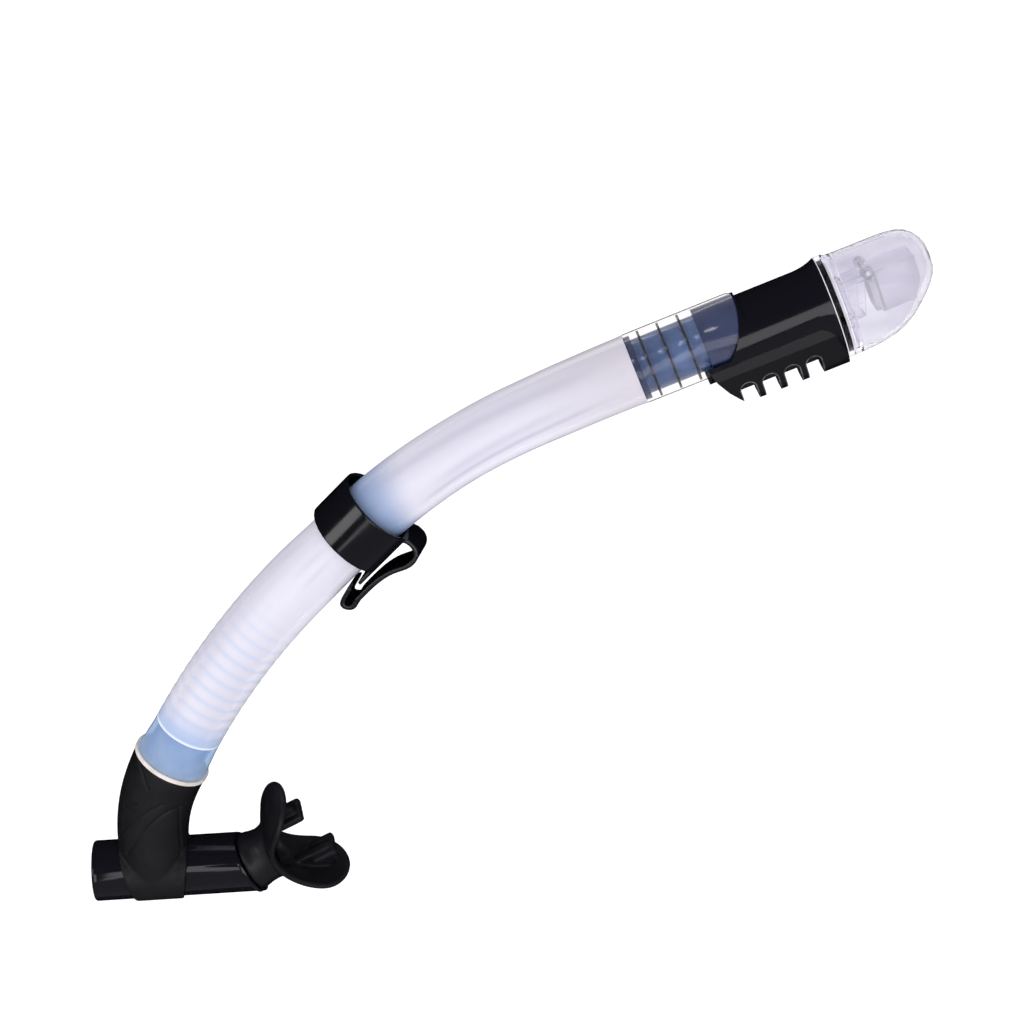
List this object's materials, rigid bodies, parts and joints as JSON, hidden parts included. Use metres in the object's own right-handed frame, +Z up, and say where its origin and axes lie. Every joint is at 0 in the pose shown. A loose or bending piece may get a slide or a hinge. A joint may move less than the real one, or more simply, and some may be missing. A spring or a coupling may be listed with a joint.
{
  "type": "snorkel tube",
  "caption": "Dry-top snorkel: curved silicone tube with a float valve under a clear cap, a sliding mask clip, a purge barrel and a bite mouthpiece.",
  "frame": {"origin": "middle of the mask clip's strap slot", "axes": "+X from the purge barrel towards the dry top, +Z up towards the dry top, +Y across the tube"},
  "size_m": [0.3352, 0.0387, 0.2741],
  "materials": {
    "tube_silicone": "milky translucent, satin",
    "trim_cream": "satin",
    "boot_rubber": "matte with soft moulded creases",
    "gloss_black": "polished",
    "housing_black": "polished body, satin keel",
    "mouth_silicone": "satin",
    "clear_plastic": "clear, polished",
    "collar_black": "polished",
    "valve_silicone": "satin translucent",
    "float_white": "frosted translucent",
    "pin_steel": "bright"
  },
  "bodies": {
    "tube": {"upper_tube": "tube_silicone", "flex_hose": "tube_silicone", "valve_housing": "housing_black", "cap_collar": "collar_black", "cap_seal": "valve_silicone", "intake_chimney": "clear_plastic", "clear_cap": "clear_plastic", "hinge_pin": "pin_steel"},
    "mask_clip": {"keeper": "gloss_black"},
    "float": {"float_lid": "float_white", "float_shell": "float_white", "seal_pad": "valve_silicone"},
    "lower_end": {"purge_barrel": "gloss_black", "elbow_boot": "boot_rubber", "hose_trim_ring": "trim_cream", "purge_seat": "gloss_black", "purge_cover": "gloss_black"},
    "purge_flap": {"purge_diaphragm": "valve_silicone"},
    "mouthpiece": {"mouthpiece": "mouth_silicone", "swivel_adapter": "gloss_black", "swivel_seal": "valve_silicone"}
  },
  "joints": [
    {"name": "keeper_slide", "type": "hinge", "parent": "tube", "child": "mask_clip", "pos_m": [0.37316, 0.00335, -0.41155], "axis": [0, 1, 0], "range_deg": [-1.6, 1.2]},
    {"name": "float_swing", "type": "hinge", "parent": "tube", "child": "float", "pos_m": [0.18384, 0.00335, 0.11153], "axis": [0, 1, 0], "range_deg": [0, 15]},
    {"name": "tube_flex", "type": "hinge", "parent": "tube", "child": "lower_end", "pos_m": [-0.0565, 0.00335, -0.03409], "axis": [0, 1, 0], "range_deg": [-10, 20], "stiffness_Nm_per_rad": 0.6, "deforming": ["flex_hose"]},
    {"name": "purge_flap_slide", "type": "slide", "parent": "lower_end", "child": "purge_flap", "axis": [-1, 0, 0], "range_m": [0, 0.001], "stiffness_N_per_m": 20},
    {"name": "mouthpiece_swivel", "type": "hinge", "parent": "lower_end", "child": "mouthpiece", "pos_m": [-0.06067, 0.00335, -0.13505], "axis": [0.891, 0, 0.454], "range_deg": [-90, 90]}
  ]
}
